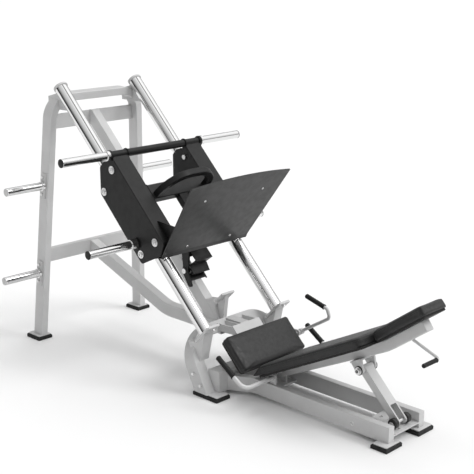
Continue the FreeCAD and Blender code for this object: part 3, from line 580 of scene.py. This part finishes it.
def storage_caps():
    shape = bmesh.new()
    for height, end in STORAGE_PLACES:
        for side in (-1, 1):
            spot = TOWER @ Vector((side * end, 0.042, height))
            add_turned(shape, cap_profile(PEG_R - 0.001, 0.001), looking(spot, (side, 0, 0)))
    piece("storage_peg_caps", shape, "frame", "frame_paint")


def strut_bushes():
    """Rubber bushes behind the pivot bolt's washers, and plugs in its heads."""
    shape = bmesh.new()
    for side in (-1, 1):
        place = looking(STRUT_PIVOT, (side, 0, 0))
        bush = [(0.0600, 0.0225), (0.0606, 0.0243), (0.0616, 0.0248), (0.0646, 0.0248), (0.0655, 0.0240),
                (0.0658, 0.0215)]
        add_turned(shape, bush, place)
        plug = [(0.0795, 0.0085), (0.0803, 0.0085), (0.0808, 0.0075), (0.0808, 0.0055), (0.0800, 0.0045)]
        add_turned(shape, plug, place)
    piece("strut_pivot_bushes", shape, "backrest", "black_rubber")


def beam_cap():
    """A pressed-in cap closes the head end of the backrest's beam."""
    shape = bmesh.new()
    place = looking(HEAD @ Vector((0, -0.276, 0.030)), HEAD.to_3x3() @ Vector((0, -1, 0)))
    add_slab(shape, 0.0285, 0.0285, -0.0010, 0.0030, 0.006, 0.0010, place)
    piece("backrest_beam_cap", shape, "backrest", "frame_paint")


def board_straps():
    """Steel straps from the backrest's beam under its boards, each with two button screws."""
    straps = bmesh.new()
    screws = bmesh.new()
    for y in (-0.40, -0.07, 0.13):
        under = 0.060 - (y + 0.540) * math.tan(BACK_TAPER)
        for side in (-1, 1):
            centre = BACK @ Matrix.Translation((side * 0.090, y, under - 0.0025))
            add_slab(straps, 0.0605, 0.020, -0.0025, 0.0028, 0.004, 0.0008, centre)
            for x in (0.085, 0.130):
                spot = BACK @ Vector((side * x, y, under - 0.005))
                add_turned(screws, screw_profile(0.0065), looking(spot, BACK.to_3x3() @ Vector((0, 0, -1))), 20)
    piece("board_straps", straps, "backrest", "frame_paint")
    piece("board_strap_screws", screws, "backrest", "zinc")


def rail_bolts():
    """Countersunk bolts in the base rails' sides."""
    shape = bmesh.new()
    for side in (-1, 1):
        place = looking((side * 0.154, 0.260 - MIDDLE_Y, 0.066), (side, 0, 0))
        profile = [(-0.0060, 0.0070), (-0.0005, 0.0125), (0.0010, 0.0125), (0.0018, 0.0116), (0.0018, 0.0090),
                   (-0.0020, 0.0060), (-0.0050, 0.0050)]
        add_turned(shape, profile, place)
    piece("base_rail_bolts", shape, "frame", "zinc")


def tube_saddles():
    """Filler plates under the carriage's upper tube, where it lies on the folded sides."""
    shape = bmesh.new()
    for side in (-1, 1):
        rings = []
        for x in (0.2300, 0.3510):
            rings.append([RAIL @ Vector((side * x, along, above)) for along, above in
                          ((0.690, 0.1345), (0.7165, 0.1395), (0.7180, 0.1190), (0.7110, 0.1150))])
        add_rings(shape, rings)
    piece("tube_saddles", shape, "carriage", "black_paint")


def cross_member_caps():
    """Plates inside the ends of the low cross member, which stand clear of the leaning legs."""
    shape = bmesh.new()
    for side in (-1, 1):
        place = looking((side * 0.2920, 1.1375 - MIDDLE_Y, 0.087), (side, 0, 0))
        add_slab(shape, 0.0394, 0.0598, -0.0015, 0.0015, 0.003, 0.0004, place)
    piece("cross_member_caps", shape, "frame", "frame_paint")


def foot_caps():
    """Steel sole plates that close the tubes, over the rubber feet."""
    shape = bmesh.new()
    for x_range, y_range in (((0.074, 0.205), (0, 0.101)), ((0.258, 0.364), (1.044, 1.236)),
                             ((0.368, 0.472), (2.566, 2.698))):
        half_x = (x_range[1] - x_range[0]) / 2 - 0.0065
        half_y = (y_range[1] - y_range[0]) / 2 - 0.0065
        for side in (-1, 1):
            centre = (side * sum(x_range) / 2, sum(y_range) / 2 - MIDDLE_Y, 0)
            add_slab(shape, half_x, half_y, FOOT_TOP - 0.001, FOOT_TOP + 0.005, 0.008, 0.0012,
                     Matrix.Translation(centre))
    piece("sole_plates", shape, "frame", "frame_paint")


def screw_profile(radius):
    """A button head with a socket."""
    return [(-0.001, radius), (0.0006, radius), (radius * 0.30, radius * 0.86), (radius * 0.48, radius * 0.62),
            (radius * 0.50, radius * 0.45), (radius * 0.12, radius * 0.42), (radius * 0.10, radius * 0.05)]


def plate_screws():
    shape = bmesh.new()
    for x, height in ((0.232, 0.403), (0.174, 0.028)):
        for side in (-1, 1):
            spot = PLATE @ Vector((side * x, 0, height))
            add_turned(shape, screw_profile(0.0075), looking(spot, PLATE.to_3x3() @ Vector((0, -1, 0))), 20)
    piece("foot_plate_screws", shape, "carriage", "zinc")


# ---------------------------------------------------------------- welds
def weld_loop(shape, corners, radius=0.0032):
    """A rippled bead along a closed loop of straight runs."""
    points = []
    for i, corner in enumerate(corners):
        following = corners[(i + 1) % len(corners)]
        run = following - corner
        pieces = max(2, round(run.length / 0.003))
        for k in range(pieces):
            points.append(corner + run * (k / pieces))
    add_tube(shape, points, radius, 6, True, 0.18, 1.6)


def welds():
    shape = bmesh.new()
    for node in ("upper_crossbar", "lower_crossbar", "low_cross_member"):
        low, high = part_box(node)
        for x in (low.x + 0.002, high.x - 0.002):
            weld_loop(shape, [Vector((x, low.y, low.z)), Vector((x, high.y, low.z)),
                              Vector((x, high.y, high.z)), Vector((x, low.y, high.z))])
    piece("frame_welds", shape, "frame", "frame_paint")
    shape = bmesh.new()
    for side in (-1, 1):
        x = side * 0.2275
        corners = [(x, 0.395, 0.084), (x, 0.495, 0.084), (x, 0.495, 0.134), (x, 0.395, 0.134)]
        weld_loop(shape, [RAIL @ Vector(corner) for corner in corners])
    piece("carriage_welds", shape, "carriage", "black_paint")


# ---------------------------------------------------------------- studio
def studio_floor():
    floor = bpy.data.meshes.new("floor")
    reach = 90.0
    floor.from_pydata([(-reach, -reach, 0), (reach, -reach, 0), (reach, reach, 0), (-reach, reach, 0)],
                      [], [(0, 1, 2, 3)])
    made = bpy.data.objects.new("floor", floor)
    bpy.context.scene.collection.objects.link(made)
    surface = Finish("studio_floor")
    surface.set(Base_Color=surface.mix(surface.noise(0.6, 2.0), grey(0.87), grey(0.89)), Roughness=0.85)
    surface.set(Specular_IOR_Level=0.1)
    floor.materials.append(surface.done())


class Sky:
    """The world's brightness, put together from smooth steps over directions."""

    def __init__(self, tree):
        self.tree = tree
        self.direction = tree.nodes.new("ShaderNodeTexCoord").outputs["Generated"]

    def towards(self, direction):
        facing = self.tree.nodes.new("ShaderNodeVectorMath")
        facing.operation = "DOT_PRODUCT"
        facing.inputs[1].default_value = Vector(direction).normalized()
        self.tree.links.new(self.direction, facing.inputs[0])
        return facing.outputs["Value"]

    def step(self, value, start, end, low, high):
        ranged = self.tree.nodes.new("ShaderNodeMapRange")
        ranged.interpolation_type = "SMOOTHSTEP"
        self.tree.links.new(value, ranged.inputs["Value"])
        for name, number in (("From Min", start), ("From Max", end), ("To Min", low), ("To Max", high)):
            ranged.inputs[name].default_value = number
        return ranged.outputs["Result"]

    def math(self, operation, first, second):
        made = self.tree.nodes.new("ShaderNodeMath")
        made.operation = operation
        self.tree.links.new(first, made.inputs[0])
        if isinstance(second, float):
            made.inputs[1].default_value = second
        else:
            self.tree.links.new(second, made.inputs[1])
        return made.outputs[0]


def studio_light():
    """A bright room: lighter overhead and on the front right, dark low down on the left."""
    world = bpy.data.worlds.new("studio")
    bpy.context.scene.world = world
    world.use_nodes = True
    tree = world.node_tree
    background = tree.nodes["Background"]
    background.inputs["Color"].default_value = grey(1.0)
    sky = Sky(tree)
    height = sky.towards((0, 0, 1))
    ceiling = sky.step(height, 0.1, 0.8, 0.04, 0.72)
    front_right = sky.step(sky.towards((0.70, -0.70, 0.15)), -0.3, 0.7, 0.0, 0.55)
    total = sky.math("ADD", ceiling, front_right)
    low_walls = sky.step(height, 0.0, 0.3, 0.3, 1.0)
    total = sky.math("MULTIPLY", total, low_walls)
    # A dark strip overhead from front to back gives the chrome its dark streaks.
    strip_middle = 0.12
    off_strip = sky.math("ABSOLUTE", sky.math("SUBTRACT", sky.towards((1, 0, 0)), strip_middle), 0.0)
    total = sky.math("MULTIPLY", total, sky.step(off_strip, 0.07, 0.18, 0.15, 1.0))
    tree.links.new(total, background.inputs["Strength"])
    for name, direction, energy, width in (("key", (0.45, -0.75, 1.0), 1.25, 28),
                                           ("top", (0.1, 0.3, 1.0), 0.7, 50)):
        light = bpy.data.lights.new(name, "SUN")
        light.energy = energy
        light.angle = math.radians(width)
        lamp = bpy.data.objects.new(name, light)
        bpy.context.scene.collection.objects.link(lamp)
        lamp.rotation_euler = Vector(direction).to_track_quat("Z", "Y").to_euler()
    bpy.context.scene.view_settings.view_transform = "Standard"


def camera():
    """Stands at the front left, above head height, and looks slightly down the machine."""
    data = bpy.data.cameras.new("camera")
    data.lens = 79.85
    data.sensor_width = 36.0
    made = bpy.data.objects.new("camera", data)
    bpy.context.scene.collection.objects.link(made)
    made.location = (-4.1535, -4.0794, 2.400)
    heading, pitch = 45.726, 14.935
    made.rotation_euler = (math.radians(90 - pitch), 0.0, math.radians(-heading))
    bpy.context.scene.camera = made


camera()
studio_floor()
studio_light()
finish_nodes()
upholstery()
grips()
peg_caps()
storage_caps()
strut_bushes()
beam_cap()
board_straps()
rail_bolts()
tube_saddles()
cross_member_caps()
foot_caps()
plate_screws()
welds()
